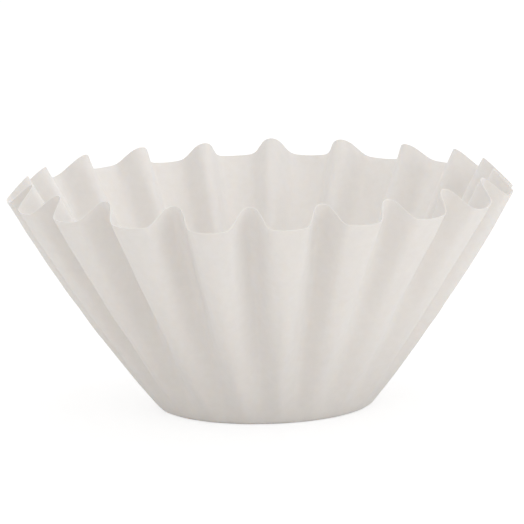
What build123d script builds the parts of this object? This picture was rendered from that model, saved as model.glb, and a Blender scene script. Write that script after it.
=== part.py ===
"""A basket-shaped paper coffee filter: a round sheet of paper, pressed to a flat base and a fluted, flared wall.

Frame: +Z up, origin at the centre of the flat base's underside, a lobe of the wall centred on the -Y axis.
Every radius of the sheet keeps its length, but for what the paper gives in the press: one that ends in a lobe
leans far out and stays low, and one that ends in a fold leans less and stands high. That gives the rim its scallops.
All lengths are in millimetres and all angles in degrees.
"""

from build123d import *

import os
from math import cos, radians, sin, tan

# Driving dimensions
SHEET_DIAMETER = 216.0  # the round sheet before it is pressed
BASE_DIAMETER = 60.0  # the flat circle the filter stands on
PAPER_THICKNESS = 0.15
BEND_SETBACK = 1.8  # from the sharp corner where base and wall would meet to either end of the rounded bend
FLUTE_COUNT = 20
LOBE_LEAN = 34.2  # lean from upright where the wall stands furthest out
FOLD_LEAN = 28.0  # lean from upright where the wall stands furthest in
FOLD_STRETCH = 0.025  # how much longer the press draws the wall at a fold, as a share of its length
LOBE_PULL = (0.35, 0.80)  # shares of half a flute along which the flat of a lobe draws the rim's curve
FOLD_PULL = (0.67, 0.81)  # and along which the back of a fold draws it
WALL_BOW = 1.0  # how far a lobe bows out of the straight line from base to rim, and a fold bows in

# How finely the surfaces are described
COLUMNS = 25  # radii of the sheet across half a flute
BEND_ROWS = 5
WALL_ROWS = 9
FIT_TOLERANCE = 0.002

crease_radius = BASE_DIAMETER / 2 + BEND_SETBACK
wall_length = SHEET_DIAMETER / 2 - crease_radius
middle_lean = (LOBE_LEAN + FOLD_LEAN) / 2
half_flute = 180 / FLUTE_COUNT


def half_wave():
    """Half a flute of the rim laid out flat, from the middle of a lobe at X = 0 to the middle of a fold."""
    width = (crease_radius + wall_length * sin(radians(middle_lean))) * radians(half_flute)
    depth = wall_length * radians(LOBE_LEAN - FOLD_LEAN)
    lobe = [(width * pull, depth) for pull in (0, *LOBE_PULL)]
    fold = [(width * pull, 0) for pull in (*FOLD_PULL, 1)]
    return Bezier(*lobe, *fold)


def around(direction, radius, height):
    """A point in a compass direction, counted from -Y towards +X."""
    return Vector(radius * sin(radians(direction)), -radius * cos(radians(direction)), height)


def along_radius(base_direction, rim_direction, lean):
    """Places on the paper's outer face along one radius of the sheet, from base to rim, each with its heading."""
    corner = around(base_direction, crease_radius, 0)
    length = wall_length * (1 + FOLD_STRETCH * (LOBE_LEAN - lean) / (LOBE_LEAN - FOLD_LEAN))
    reach = length * sin(radians(lean))
    rim = around(rim_direction, crease_radius + reach, length * cos(radians(lean)))
    outward = around(rim_direction, cos(radians(lean)), -sin(radians(lean)))
    bow = 2 * WALL_BOW * (lean - middle_lean) / (LOBE_LEAN - middle_lean)
    middle = (corner + rim) / 2 + outward * bow
    bend_end = corner + (middle - corner).normalized() * BEND_SETBACK
    bend = Bezier(around(base_direction, BASE_DIAMETER / 2, 0), corner, bend_end)
    wall = Bezier(bend_end, middle, rim)
    bend_shares = [i / BEND_ROWS for i in range(BEND_ROWS)]
    wall_shares = [i / WALL_ROWS for i in range(WALL_ROWS + 1)]
    places = [(bend @ share, bend % share) for share in bend_shares]
    return places + [(wall @ share, wall % share) for share in wall_shares]


def column(wave, index):
    """One radius of the sheet, counted from the middle of a lobe. One past either end mirrors its neighbour."""
    share = index / (COLUMNS - 1)
    at = wave @ min(abs(share), 2 - share)
    turn_at_rim = half_flute * at.X / (wave @ 1).X
    if share < 0:
        turn_at_rim = -turn_at_rim
    if share > 1:
        turn_at_rim = 2 * half_flute - turn_at_rim
    lean = FOLD_LEAN + (LOBE_LEAN - FOLD_LEAN) * at.Y / (wave @ 0).Y
    return along_radius(half_flute * share, turn_at_rim, lean)


def face_points():
    """Points of the paper's outer and inner face across half a flute, a list for each radius of the sheet."""
    wave = half_wave()
    columns = [column(wave, index) for index in range(-1, COLUMNS + 1)]
    outer, inner = [], []
    for before, here, after in zip(columns, columns[1:], columns[2:]):
        inward = [
            (later - earlier).cross(up).normalized() * -PAPER_THICKNESS
            for (earlier, _), (_, up), (later, _) in zip(before, here, after)
        ]
        outer.append([point for point, _ in here])
        inner.append([point + step for (point, _), step in zip(here, inward)])
    return outer, inner


def base_edge(face):
    """The edge of a half flute's face along the flat base."""
    return face.edges().sort_by(Axis.Z)[0]


def rim_edge(face):
    """The edge of a half flute's face along the rim."""
    return face.edges().sort_by(Axis.Z)[-1]


def coffee_filter():
    """The pressed sheet: half a flute mirrored and turned round the base, with the base's two flat faces."""
    outer, inner = [Face.make_surface_from_array_of_points(grid, tol=FIT_TOLERANCE) for grid in face_points()]
    rim = Face.make_surface_from_curves(rim_edge(outer), rim_edge(inner))
    half = [outer, inner, rim]
    flute = half + [face.mirror(Plane.YZ) for face in half]
    turns = [Rotation(0, 0, 2 * half_flute * i) for i in range(FLUTE_COUNT)]
    faces = [turn * face for turn in turns for face in flute]
    for start in (base_edge(outer), base_edge(inner)):
        ring = [turn * edge for turn in turns for edge in (start, start.mirror(Plane.YZ))]
        faces.append(Face(Wire(ring)))
    return Solid(Shell(faces))


sheet = coffee_filter()
sheet.label = "coffee_filter"
os.makedirs("parts", exist_ok=True)
export_step(sheet, "parts/coffee_filter.step")
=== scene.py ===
"""Visual model of a basket-shaped paper coffee filter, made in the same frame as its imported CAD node.

It is laid out as an add-on. The panel in the 3D view's sidebar holds the sizes and colours and two operators:
one models the pressed sheet of paper and one sets up the stage. Run as a script, it calls both in turn.
Lengths are in metres, +Z is up, and a lobe of the fluted wall is centred on -Y, as in the CAD node.
"""

from math import atan2, cos, hypot, pi, radians, sin

import bmesh
import bpy
from bpy.props import FloatProperty, FloatVectorProperty, IntProperty, PointerProperty
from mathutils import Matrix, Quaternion, Vector


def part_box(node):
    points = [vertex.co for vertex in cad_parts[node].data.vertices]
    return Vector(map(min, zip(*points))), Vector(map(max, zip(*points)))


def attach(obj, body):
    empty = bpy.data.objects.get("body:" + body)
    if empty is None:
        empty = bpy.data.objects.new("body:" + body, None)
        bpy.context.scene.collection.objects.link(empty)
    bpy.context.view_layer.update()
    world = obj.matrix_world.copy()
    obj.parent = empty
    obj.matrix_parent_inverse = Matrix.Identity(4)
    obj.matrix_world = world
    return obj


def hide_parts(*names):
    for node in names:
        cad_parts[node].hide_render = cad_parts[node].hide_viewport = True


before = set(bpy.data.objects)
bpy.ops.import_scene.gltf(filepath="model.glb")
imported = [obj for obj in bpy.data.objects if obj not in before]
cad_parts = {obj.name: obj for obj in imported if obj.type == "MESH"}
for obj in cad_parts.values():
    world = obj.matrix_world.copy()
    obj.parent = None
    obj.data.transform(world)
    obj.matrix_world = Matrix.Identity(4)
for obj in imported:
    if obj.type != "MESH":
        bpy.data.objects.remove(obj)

bl_info = {
    "name": "Paper Coffee Filter",
    "version": (1, 0, 0),
    "blender": (4, 5, 0),
    "location": "3D View > Sidebar > Coffee Filter",
    "description": "Models a fluted basket coffee filter in thin white paper, on a plain studio stage",
    "category": "Add Mesh",
}

CAD_NODE = "coffee_filter"
CAD_LOW, CAD_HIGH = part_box(CAD_NODE)
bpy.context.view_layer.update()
AXIS = (0.0, 0.0, 0.0)
FLOOR_WIDTH = 6.0
FLOOR_GAP = 0.00005  # keeps the floor from sharing the base's plane
FLOOR_WHITE = (0.90, 0.89, 0.88, 1.0)
FLOOR_SEEN = (0.40, 0.40, 0.40, 1.0)  # what the camera sees of it, before the glow that lifts it
WHITE = (1.0, 1.0, 1.0, 1.0)

# Columns of the modelling cage across one flute. Each gives, for half a flute counted from the middle of a
# lobe: its share of the paper's width, its share of the flute's angle at the rim, and how far out it stands
# between the fold (0) and the lobe (1).
RIM_HALF_FLUTE = (
    (0.00, 0.00, 1.02),
    (0.21, 0.31, 0.99),
    (0.42, 0.57, 0.91),
    (0.75, 0.74, 0.12),
    (1.00, 1.00, -0.06),
)
# The same near the base, where the wave is rounder.
LOW_HALF_FLUTE = (
    (0.00, 0.00, 0.92),
    (0.22, 0.25, 0.83),
    (0.46, 0.51, 0.60),
    (0.73, 0.75, 0.37),
    (1.00, 1.00, 0.26),
)
COLUMNS = 2 * (len(RIM_HALF_FLUTE) - 1)
PLAIN_CONE = (0.5, 0.5, 0.5)  # a column of the cage before its flutes are pressed, between lobe and fold
RIM_WAVE_REACH = 1.5  # the higher, the nearer to the rim the wave there stays

# Rings of the cage: shares of the base's radius across the flat base, and of the wall's length up the wall.
BASE_RINGS = (0.55, 0.90)
WALL_RINGS = (0.024, 0.055, 0.10, 0.18, 0.28, 0.40, 0.53, 0.66, 0.79, 0.91, 1.00)

# The flutes stray from their even places in waves round the wall.
STRAY_WAVES = 4
STRAY_START = 2.6  # where the first wave stands at the front, in radians
# How much higher the rim of each lobe, and of the fold after it, stands, in millimetres.
RIM_RISE = (
    (0.4, 0.3), (0.6, 0.0), (0.0, 0.2), (-0.3, 0.4), (0.3, -0.3), (-0.5, 0.2), (0.2, 0.5), (0.4, -0.2),
    (-0.2, 0.1), (0.1, 0.4), (0.5, -0.4), (-0.4, 0.0), (0.3, 0.3), (0.0, -0.3), (-0.3, 0.2), (0.4, 0.5),
    (0.2, -0.1), (0.5, 0.6), (0.7, 0.2), (-0.1, 0.1),
)
# How far the wave of each lobe, and of the fold after it, is pressed flat below the rim, from 0, not at all,
# to 1, wholly.
WALL_PRESS = (
    (0.0, 0.2), (0.3, 0.5), (0.5, 0.5), (0.4, 0.3), (0.0, 0.1), (0.1, 0.0), (0.0, 0.2), (0.3, 0.1),
    (0.0, 0.0), (0.1, 0.3), (0.2, 0.0), (0.0, 0.1), (0.2, 0.3), (0.0, 0.0), (0.1, 0.0), (0.0, 0.1),
    (0.1, 0.0), (0.0, 0.0), (0.0, 0.0), (0.0, 0.1),
)
PRESSED_OUT = 0.62  # how far out a wave stands where it is pressed wholly flat
PRESS_FADE = 3  # the higher, the nearer to the rim the pressing reaches
RISE_FADE = 2  # the higher, the less of the wall rises with the rim

COCKLE_FADE = 0.3  # share of the wall over which the cockle grows in, from the base up
SMOOTH_ANGLE = radians(50)

# The paper's finish. The widths are in metres.
BROAD_CLOUDS = 0.022
FINE_CLOUDS = 0.0024
FIBRES = 0.0007
BROAD_SHARE = 0.35  # of the cloudiness, and the rest of it is fine
FINE_SHARE = 0.65
CLOUD_RELIEF = 1.5  # how far the fine clouds stand up, against the fibres
RELIEF_STRENGTH = 0.6
CLOUD_EDGES = (0.38, 0.66)  # cloudiness where the paper starts to thin, and where it is thinnest
FIBRE_EDGES = (0.3, 0.7)
ROUGHNESS = (0.84, 0.96)  # between fibres, and on them
GLOSS = 0.25
SHEEN = 0.08
SHEEN_ROUGHNESS = 0.5
LIGHT_REACH = (1.0, 0.92, 0.8)  # how far red, green and blue light travel in the paper, as shares

# The studio: each lamp's place and width.
TOP_LIGHT = (0.15, 0.10, 1.00), 0.60
SIDE_LIGHT = (0.66, -0.66, 0.20), 0.45
FRONT_LIGHT = (-0.10, -1.00, 0.10), 0.60
EVEN_LIGHT = (1.0, 0.995, 0.985, 1.0)
SENSOR_WIDTH = 36.0  # millimetres, as the lens


class FilterPaperSettings(bpy.types.PropertyGroup):
    """Sizes and colours of the pressed sheet of paper."""

    flute_count: IntProperty(name="Flutes", description="Flutes round the wall", default=20, min=3)
    base_radius: FloatProperty(
        name="Base radius", description="Radius of the flat base", default=0.030, unit="LENGTH", precision=4
    )
    bend_setback: FloatProperty(
        name="Bend", description="Length of the rounded bend on the base and on the wall", default=0.0018,
        unit="LENGTH", precision=4,
    )
    rim_radius: FloatProperty(
        name="Rim radius", description="Radius of the rim at a lobe", default=(CAD_HIGH.x - CAD_LOW.x) / 2,
        unit="LENGTH", precision=4,
    )
    rim_height: FloatProperty(
        name="Rim height", description="Height of the rim at a fold", default=CAD_HIGH.z - CAD_LOW.z,
        unit="LENGTH", precision=4,
    )
    bunching: FloatProperty(
        name="Bunching", description="How far the flutes at the sides have crept towards the front",
        default=radians(1.5), subtype="ANGLE",
    )
    straying: FloatProperty(
        name="Straying", description="How far a flute strays from its even place besides",
        default=radians(0.8), subtype="ANGLE",
    )
    lobe_lean: FloatProperty(
        name="Lobe lean", description="Lean of a lobe from upright", default=radians(34.2), subtype="ANGLE"
    )
    fold_lean: FloatProperty(
        name="Fold lean", description="Lean of a fold from upright", default=radians(28.0), subtype="ANGLE"
    )
    wall_bow: FloatProperty(
        name="Wall bow", description="How far a lobe bows outwards and a fold inwards at half height",
        default=0.0022, unit="LENGTH", precision=4,
    )
    thickness: FloatProperty(
        name="Thickness", description="Thickness of the paper", default=0.00015, unit="LENGTH", precision=5
    )
    cockle: FloatProperty(
        name="Cockle", description="Height of the paper's soft unevenness", default=0.0008, unit="LENGTH",
        precision=4,
    )
    cockle_size: FloatProperty(
        name="Cockle size", description="Width of the paper's soft unevenness", default=0.018, unit="LENGTH",
        precision=4,
    )
    crinkle: FloatProperty(
        name="Crinkle", description="Height of the paper's fine unevenness", default=0.00016, unit="LENGTH",
        precision=5,
    )
    crinkle_size: FloatProperty(
        name="Crinkle size", description="Width of the paper's fine unevenness", default=0.005, unit="LENGTH",
        precision=4,
    )
    paper_colour: FloatVectorProperty(
        name="Paper", description="Colour of the bleached paper", subtype="COLOR", size=4,
        default=(0.845, 0.825, 0.808, 1.0), min=0.0, max=1.0,
    )
    thin_colour: FloatVectorProperty(
        name="Thin spots", description="Colour of the paper's thinner spots", subtype="COLOR", size=4,
        default=(0.822, 0.80, 0.779, 1.0), min=0.0, max=1.0,
    )
    fibre_relief: FloatProperty(
        name="Fibre relief", description="Depth of the fibres in the surface", default=0.00004, unit="LENGTH",
        precision=5,
    )
    see_through: FloatProperty(
        name="See-through", description="Share of the light that passes into the paper", default=0.6,
        subtype="FACTOR", min=0.0, max=1.0,
    )
    light_depth: FloatProperty(
        name="Light depth", description="How far light travels in the paper", default=0.00015, unit="LENGTH",
        precision=5,
    )


class StageSettings(bpy.types.PropertyGroup):
    """Camera, light and floor."""

    camera_turn: FloatProperty(
        name="Camera turn", description="Camera's place round the filter, from the front towards the right",
        default=radians(-5.4), subtype="ANGLE",
    )
    camera_rise: FloatProperty(
        name="Camera rise", description="Camera's height above level", default=radians(9.8), subtype="ANGLE"
    )
    camera_roll: FloatProperty(
        name="Camera roll", description="Tilt of the camera about its line of sight", default=radians(-1.45),
        subtype="ANGLE",
    )
    camera_distance: FloatProperty(
        name="Camera distance", description="Distance from the camera to its aim", default=1.041,
        unit="LENGTH",
    )
    aim_right: FloatProperty(
        name="Aim right", description="How far right of the axis the camera looks", default=-0.0001,
        unit="LENGTH", precision=4,
    )
    camera_lens: FloatProperty(name="Lens", description="Focal length in millimetres", default=242.5)
    aim_height: FloatProperty(
        name="Aim height", description="Height that the camera looks at", default=0.0421, unit="LENGTH",
        precision=4,
    )
    top_power: FloatProperty(
        name="Top light", description="Power of the light above", default=2.2, unit="POWER"
    )
    side_power: FloatProperty(
        name="Side light", description="Power of the low light at the front right", default=0.85, unit="POWER"
    )
    front_power: FloatProperty(
        name="Front light", description="Power of the low light in front", default=0.1, unit="POWER"
    )
    world_strength: FloatProperty(name="World light", description="Strength of the even light", default=0.785)
    floor_glow: FloatProperty(
        name="Floor glow", description="How far the floor is lifted towards white for the camera",
        default=0.72,
    )


# Modelling helpers: every change is made by an operator on what is selected.


def select_vertices(mesh, indices):
    """Selects just these vertices of the mesh in edit mode."""
    wanted = set(indices)
    cage = bmesh.from_edit_mesh(mesh)
    for vertex in cage.verts:
        vertex.select = vertex.index in wanted
    cage.select_flush_mode()
    bmesh.update_edit_mesh(mesh, loop_triangles=False, destructive=False)


def scale_round_axis(factor):
    """Widens the selection about the Z axis, at its height."""
    bpy.ops.transform.resize(value=(factor, factor, 1.0), orient_type="GLOBAL", center_override=AXIS)


def lift(height):
    """Moves the selection up."""
    bpy.ops.transform.translate(value=(0.0, 0.0, height), orient_type="GLOBAL")


def turn_round_axis(angle):
    """Turns the selection about +Z, anticlockwise from above. With no window the operator turns the other
    way."""
    bpy.ops.transform.rotate(value=-angle, orient_axis="Z", orient_type="GLOBAL", center_override=AXIS)


def finish_object(thing, name):
    """Names a piece and leaves its object at the origin, unturned and unscaled."""
    thing.name = name
    thing.data.name = name
    bpy.ops.object.transform_apply(location=True, rotation=True, scale=True)
    return thing


def apply_modifier(thing, name, kind, **values):
    """Adds a modifier, sets it up and applies it."""
    modifier = thing.modifiers.new(name, kind)
    for key, value in values.items():
        setattr(modifier, key, value)
    bpy.ops.object.modifier_apply(modifier=modifier.name)


# The pressed sheet of paper


def column_place(sizes, half, share_up):
    """Radius, angle from the lobe's middle and height of a column of the cage, at a share of the wall's
    length."""
    paper_share, rim_share, out = half
    half_turn = pi / sizes.flute_count
    crease = sizes.base_radius + sizes.bend_setback
    lobe_wall = (sizes.rim_radius - crease) / sin(sizes.lobe_lean)
    fold_wall = sizes.rim_height / cos(sizes.fold_lean)
    wall = fold_wall + (lobe_wall - fold_wall) * out
    lean = sizes.fold_lean + (sizes.lobe_lean - sizes.fold_lean) * out
    rim_radius = crease + wall * sin(lean)
    base_turn = half_turn * paper_share
    start = Vector((crease * sin(base_turn), crease * cos(base_turn), 0.0))
    rim_turn = half_turn * rim_share
    end = Vector((rim_radius * sin(rim_turn), rim_radius * cos(rim_turn), wall * cos(lean)))
    bow = sizes.wall_bow * (2 * out - 1) * 4 * share_up * (1 - share_up)
    place = start.lerp(end, share_up) + Vector((0.0, bow * cos(lean), -bow * sin(lean)))
    return hypot(place.x, place.y), atan2(place.x, place.y), place.z


def half_flute(rank, share_up):
    """A column's place across half a flute: the rim's wave, blended into the rounder one below it."""
    blend = share_up ** RIM_WAVE_REACH
    return tuple(low + (rim - low) * blend for rim, low in zip(RIM_HALF_FLUTE[rank], LOW_HALF_FLUTE[rank]))


def add_cage(sizes):
    """A circle at the base's edge, extruded ring by ring up a plain cone and inwards across the base. Returns
    the object and, for each wall ring, its vertices in order round the filter."""
    count = sizes.flute_count * COLUMNS
    bpy.ops.mesh.primitive_circle_add(vertices=count, radius=sizes.base_radius, fill_type="NOTHING")
    sheet = bpy.context.object
    bpy.ops.object.mode_set(mode="EDIT")
    bpy.ops.mesh.select_mode(type="VERT")
    bpy.ops.mesh.select_all(action="SELECT")
    radius, height = sizes.base_radius, 0.0
    crease = sizes.base_radius + sizes.bend_setback
    targets = [(crease, 0.0)]
    targets += [column_place(sizes, PLAIN_CONE, share)[::2] for share in WALL_RINGS]
    for new_radius, new_height in targets:
        bpy.ops.mesh.extrude_region_move()
        scale_round_axis(new_radius / radius)
        lift(new_height - height)
        radius, height = new_radius, new_height
    rings = [range(count * k, count * (k + 1)) for k in range(2, 2 + len(WALL_RINGS))]
    select_vertices(sheet.data, range(count))
    radius = sizes.base_radius
    for share in reversed(BASE_RINGS):
        bpy.ops.mesh.extrude_region_move()
        scale_round_axis(share * sizes.base_radius / radius)
        radius = share * sizes.base_radius
    bpy.ops.mesh.extrude_region_move()
    bpy.ops.mesh.merge(type="CENTER")
    return sheet, rings


def bearing(point):
    """A point's direction from the axis, in radians from -Y towards +X."""
    return atan2(point.x, -point.y)


def press_flutes(sheet, rings, sizes):
    """Moves the columns of the cage to their places: a lobe's out and down, a fold's in and up."""
    cage = bmesh.from_edit_mesh(sheet.data)
    cage.verts.ensure_lookup_table()
    step = 2 * pi / (sizes.flute_count * COLUMNS)
    steps = {vertex.index: round(bearing(vertex.co) / step) % COLUMNS for vertex in cage.verts}
    starts = [cage.verts[ring[0]].co.copy() for ring in rings]
    for ring, start, share_up in zip(rings, starts, WALL_RINGS):
        for column in range(COLUMNS):
            side = 1 if column <= COLUMNS // 2 else -1
            rank = column if side == 1 else COLUMNS - column
            radius, angle, height = column_place(sizes, half_flute(rank, share_up), share_up)
            select_vertices(sheet.data, [index for index in ring if steps[index] == column])
            scale_round_axis(radius / hypot(start.x, start.y))
            lift(height - start.z)
            turn_round_axis(side * (angle - rank * step))


def between(table, place):
    """A value from a table of (lobe, fold) pairs at a place counted in flutes. It changes from a lobe to a
    fold over the flank between them."""
    flute = int(place // 1)
    lobe, fold = table[flute % len(table)]
    next_lobe = table[(flute + 1) % len(table)][0]
    across = 2 * (place - flute)
    start, end = (lobe, fold) if across < 1 else (fold, next_lobe)
    share = across % 1
    return start + (end - start) * share * share * (3 - 2 * share)


def flute_creep(sizes, direction):
    """How far the wall has crept round in a direction from the axis, in radians."""
    return sizes.straying * sin(STRAY_WAVES * direction + STRAY_START) - sizes.bunching * sin(direction)


def loosen_flutes(sheet, rings, sizes):
    """Turns each column a little round the axis, lifts its rim and presses its wave, so that the flutes lie
    as unevenly as paper's."""
    cage = bmesh.from_edit_mesh(sheet.data)
    cage.verts.ensure_lookup_table()
    step = 2 * pi / (sizes.flute_count * COLUMNS)
    corners = [cage.verts[index].co for index in rings[0]]
    columns = [round(bearing(corner) / step) for corner in corners]
    directions = [bearing(corner) for corner in corners]
    for offset, (column, direction) in enumerate(zip(columns, directions)):
        place = direction / (2 * pi) * sizes.flute_count
        select_vertices(sheet.data, [ring[offset] for ring in rings])
        turn_round_axis(flute_creep(sizes, direction))
        column %= COLUMNS
        rank = min(column, COLUMNS - column)
        for ring, share_up in zip(rings, WALL_RINGS):
            paper_share, rim_share, out = half_flute(rank, share_up)
            press = between(WALL_PRESS, place) * (1 - share_up ** PRESS_FADE)
            pressed = (paper_share, rim_share, out + (PRESSED_OUT - out) * press)
            radius, _, height = column_place(sizes, (paper_share, rim_share, out), share_up)
            new_radius, _, new_height = column_place(sizes, pressed, share_up)
            select_vertices(sheet.data, [ring[offset]])
            if press > 0:
                scale_round_axis(new_radius / radius)
            rise = between(RIM_RISE, place) / 1000 * share_up ** RISE_FADE
            lift(new_height - height + rise)


def group_wall(sheet, rings):
    """A vertex group that is nothing on the flat base and grows up the wall."""
    group = sheet.vertex_groups.new(name="Wall")
    for ring, share_up in zip(rings, WALL_RINGS):
        group.add(list(ring), min(1.0, share_up / COCKLE_FADE), "REPLACE")


def add_cockle(sheet, name, height, size, depth):
    """Pushes the paper softly in and out along its normals, as it is never quite even."""
    cloud = bpy.data.textures.new(name, "CLOUDS")
    cloud.noise_scale = size
    cloud.noise_depth = depth
    apply_modifier(
        sheet, name, "DISPLACE", texture=cloud, strength=height, mid_level=0.5, vertex_group="Wall",
        direction="NORMAL", texture_coords="LOCAL",
    )


def model_paper(sizes):
    """Models the sheet as one closed thin shell, and leaves it at the origin."""
    bpy.ops.object.select_all(action="DESELECT")
    sheet, rings = add_cage(sizes)
    press_flutes(sheet, rings, sizes)
    loosen_flutes(sheet, rings, sizes)
    bpy.ops.mesh.select_all(action="SELECT")
    bpy.ops.mesh.normals_make_consistent(inside=False)
    bpy.ops.object.mode_set(mode="OBJECT")
    group_wall(sheet, rings)
    apply_modifier(sheet, "Smooth", "SUBSURF", levels=2, render_levels=2)
    add_cockle(sheet, "Cockle", sizes.cockle, sizes.cockle_size, 1)
    add_cockle(sheet, "Crinkle", sizes.crinkle, sizes.crinkle_size, 2)
    apply_modifier(sheet, "Paper", "SOLIDIFY", thickness=sizes.thickness, offset=-1.0, use_even_offset=True)
    bpy.ops.object.shade_smooth_by_angle(angle=SMOOTH_ANGLE)
    return finish_object(sheet, "filter_paper")


# Materials


def new_material(name):
    """An empty node material. Returns it with its node tree and output."""
    material = bpy.data.materials.new(name)
    material.use_nodes = True
    tree = material.node_tree
    tree.nodes.clear()
    return material, tree, tree.nodes.new("ShaderNodeOutputMaterial")


def feed(tree, socket, value):
    """Sets a socket to a value, or links it where another node's socket is given."""
    if isinstance(value, bpy.types.NodeSocket):
        tree.links.new(value, socket)
    else:
        socket.default_value = value


def add_node(tree, kind, **inputs):
    """A node with the named inputs fed."""
    node = tree.nodes.new(kind)
    for name, value in inputs.items():
        feed(tree, node.inputs[name.replace("_", " ")], value)
    return node


def add_noise(tree, place, size, detail, roughness=0.5):
    """Noise whose patches are about the given size in metres, from 0 to 1."""
    noise = add_node(
        tree, "ShaderNodeTexNoise", Vector=place, Scale=1 / size, Detail=detail, Roughness=roughness
    )
    return noise.outputs["Fac"]


def add_range(tree, value, given, wanted):
    """The value stretched from the given range to the wanted one, and held inside it."""
    node = add_node(
        tree, "ShaderNodeMapRange", Value=value,
        From_Min=given[0], From_Max=given[1], To_Min=wanted[0], To_Max=wanted[1],
    )
    return node.outputs["Result"]


def add_math(tree, operation, first, second):
    """The result of a Math node on two values or sockets."""
    node = tree.nodes.new("ShaderNodeMath")
    node.operation = operation
    for socket, value in zip(node.inputs, (first, second)):
        feed(tree, socket, value)
    return node.outputs[0]


def paper_material(sizes):
    """Bleached filter paper: cloudy with thinner spots, matt, faintly rough with fibres, and a little
    see-through."""
    material, tree, output = new_material("filter_paper")
    place = tree.nodes.new("ShaderNodeTexCoord").outputs["Object"]
    broad = add_noise(tree, place, BROAD_CLOUDS, 2.0)
    clouds = add_noise(tree, place, FINE_CLOUDS, 3.0, 0.6)
    fibres = add_noise(tree, place, FIBRES, 3.0, 0.7)
    fine_part = add_math(tree, "MULTIPLY", clouds, FINE_SHARE)
    broad_part = add_math(tree, "MULTIPLY", broad, BROAD_SHARE)
    spots = add_math(tree, "ADD", fine_part, broad_part)
    colour = tree.nodes.new("ShaderNodeMix")
    colour.data_type = "RGBA"
    factor, first, second = (
        next(socket for socket in colour.inputs if socket.identifier == name)
        for name in ("Factor_Float", "A_Color", "B_Color")
    )
    feed(tree, factor, add_range(tree, spots, CLOUD_EDGES, (0.0, 1.0)))
    first.default_value = sizes.paper_colour
    second.default_value = sizes.thin_colour
    mixed = next(socket for socket in colour.outputs if socket.identifier == "Result_Color")
    relief = add_math(tree, "ADD", fibres, add_math(tree, "MULTIPLY", clouds, CLOUD_RELIEF))
    bump = add_node(
        tree, "ShaderNodeBump", Height=relief, Distance=sizes.fibre_relief, Strength=RELIEF_STRENGTH
    )
    shader = add_node(
        tree, "ShaderNodeBsdfPrincipled", Base_Color=mixed, Normal=bump.outputs["Normal"],
        Roughness=add_range(tree, fibres, FIBRE_EDGES, ROUGHNESS), Specular_IOR_Level=GLOSS,
        Sheen_Weight=SHEEN, Sheen_Roughness=SHEEN_ROUGHNESS, Subsurface_Weight=sizes.see_through,
        Subsurface_Radius=LIGHT_REACH, Subsurface_Scale=sizes.light_depth,
    )
    tree.links.new(shader.outputs["BSDF"], output.inputs["Surface"])
    return material


def shown_directly(tree):
    """1 where the camera, a mirror or glass looks at the surface, and 0 for the light that it gives to
    others."""
    path = tree.nodes.new("ShaderNodeLightPath")
    seen = add_math(tree, "MAXIMUM", path.outputs["Is Camera Ray"], path.outputs["Is Glossy Ray"])
    return add_math(tree, "MAXIMUM", seen, path.outputs["Is Transmission Ray"])


def floor_material(stage):
    """A white floor. The camera sees it lifted to pure white, with a soft shadow under the filter."""
    material, tree, output = new_material("studio_floor")
    lit = add_node(tree, "ShaderNodeBsdfDiffuse", Color=FLOOR_WHITE)
    shaded = add_node(tree, "ShaderNodeBsdfDiffuse", Color=FLOOR_SEEN)
    glow = add_node(tree, "ShaderNodeEmission", Strength=stage.floor_glow)
    lifted = tree.nodes.new("ShaderNodeAddShader")
    tree.links.new(shaded.outputs[0], lifted.inputs[0])
    tree.links.new(glow.outputs[0], lifted.inputs[1])
    mix = tree.nodes.new("ShaderNodeMixShader")
    tree.links.new(shown_directly(tree), mix.inputs[0])
    tree.links.new(lit.outputs[0], mix.inputs[1])
    tree.links.new(lifted.outputs[0], mix.inputs[2])
    tree.links.new(mix.outputs[0], output.inputs["Surface"])
    return material


# Stage


def light_world(stage):
    """Even white light from all round, which shows as pure white itself."""
    world = bpy.data.worlds.new("studio")
    bpy.context.scene.world = world
    world.use_nodes = True
    tree = world.node_tree
    tree.nodes.clear()
    output = tree.nodes.new("ShaderNodeOutputWorld")
    even = add_node(tree, "ShaderNodeBackground", Color=EVEN_LIGHT, Strength=stage.world_strength)
    white = add_node(tree, "ShaderNodeBackground", Color=WHITE, Strength=1.0)
    mix = tree.nodes.new("ShaderNodeMixShader")
    tree.links.new(shown_directly(tree), mix.inputs[0])
    tree.links.new(even.outputs[0], mix.inputs[1])
    tree.links.new(white.outputs[0], mix.inputs[2])
    tree.links.new(mix.outputs[0], output.inputs["Surface"])


def aim(thing, target, roll=0.0):
    """Turns a camera or light towards a point, tilted by the roll."""
    direction = Vector(target) - thing.location
    thing.rotation_euler = (direction.to_track_quat("-Z", "Y") @ Quaternion((0, 0, 1), roll)).to_euler()


def add_softbox(name, placed, power, target):
    """A large square lamp, given by its place and width, aimed at the filter."""
    place, width = placed
    bpy.ops.object.light_add(type="AREA", location=place)
    lamp = bpy.context.object
    lamp.name = name
    lamp.data.shape = "SQUARE"
    lamp.data.size = width
    lamp.data.energy = power
    aim(lamp, target)


def add_camera(stage):
    """The camera, a long lens that looks slightly down at the filter."""
    right = Vector((cos(stage.camera_turn), sin(stage.camera_turn), 0.0))
    target = right * stage.aim_right + Vector((0.0, 0.0, stage.aim_height))
    away = Vector((
        sin(stage.camera_turn) * cos(stage.camera_rise),
        -cos(stage.camera_turn) * cos(stage.camera_rise),
        sin(stage.camera_rise),
    ))
    bpy.ops.object.camera_add(location=target + away * stage.camera_distance)
    camera = bpy.context.object
    camera.name = "studio_camera"
    camera.data.lens = stage.camera_lens
    camera.data.sensor_width = SENSOR_WIDTH
    aim(camera, target, stage.camera_roll)
    bpy.context.scene.camera = camera


# Operators


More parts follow.
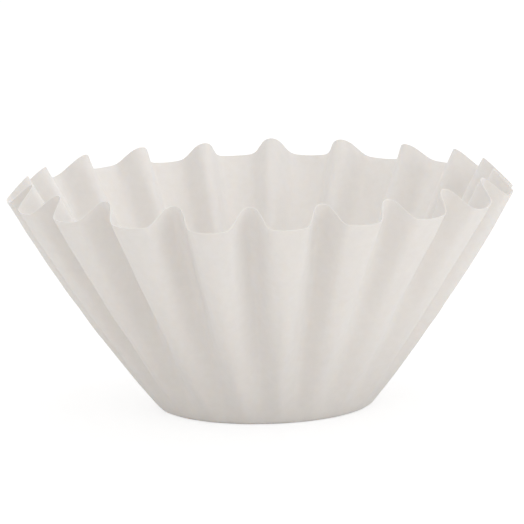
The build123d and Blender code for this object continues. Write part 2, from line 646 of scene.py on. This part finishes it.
class MESH_OT_filter_paper(bpy.types.Operator):
    """Model the pressed sheet of paper and give it its finish"""

    bl_idname = "mesh.filter_paper"
    bl_label = "Filter Paper"
    bl_options = {"REGISTER", "UNDO"}

    def execute(self, context):
        sizes = context.scene.filter_paper
        sheet = model_paper(sizes)
        sheet.data.materials.clear()
        sheet.data.materials.append(paper_material(sizes))
        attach(sheet, "root")
        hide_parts(CAD_NODE)
        return {"FINISHED"}


class SCENE_OT_filter_stage(bpy.types.Operator):
    """Set up the floor, the lights and the camera"""

    bl_idname = "scene.filter_stage"
    bl_label = "Studio Stage"
    bl_options = {"REGISTER", "UNDO"}

    def execute(self, context):
        stage = context.scene.filter_stage
        bpy.ops.object.select_all(action="DESELECT")
        bpy.ops.mesh.primitive_plane_add(size=FLOOR_WIDTH, location=(0.0, 0.0, CAD_LOW.z - FLOOR_GAP))
        floor = finish_object(context.object, "studio_floor")
        floor.data.materials.append(floor_material(stage))
        light_world(stage)
        target = (0.0, 0.0, stage.aim_height)
        add_softbox("top_light", TOP_LIGHT, stage.top_power, target)
        add_softbox("side_light", SIDE_LIGHT, stage.side_power, target)
        add_softbox("front_light", FRONT_LIGHT, stage.front_power, target)
        add_camera(stage)
        context.scene.view_settings.view_transform = "Standard"
        return {"FINISHED"}


class VIEW3D_PT_filter(bpy.types.Panel):
    """Sizes, colours and the steps that build the filter"""

    bl_idname = "VIEW3D_PT_filter"
    bl_label = "Paper Coffee Filter"
    bl_space_type = "VIEW_3D"
    bl_region_type = "UI"
    bl_category = "Coffee Filter"

    def draw(self, context):
        for settings, operator in (
            (context.scene.filter_paper, MESH_OT_filter_paper),
            (context.scene.filter_stage, SCENE_OT_filter_stage),
        ):
            box = self.layout.box()
            for name in settings.__annotations__:
                box.prop(settings, name)
            box.operator(operator.bl_idname)


CLASSES = (
    FilterPaperSettings,
    StageSettings,
    MESH_OT_filter_paper,
    SCENE_OT_filter_stage,
    VIEW3D_PT_filter,
)


def register():
    for item in CLASSES:
        bpy.utils.register_class(item)
    bpy.types.Scene.filter_paper = PointerProperty(type=FilterPaperSettings)
    bpy.types.Scene.filter_stage = PointerProperty(type=StageSettings)


def unregister():
    del bpy.types.Scene.filter_stage
    del bpy.types.Scene.filter_paper
    for item in reversed(CLASSES):
        bpy.utils.unregister_class(item)


def main():
    """Builds the filter and its stage."""
    register()
    bpy.ops.mesh.filter_paper()
    bpy.ops.scene.filter_stage()


if __name__ == "__main__":
    main()
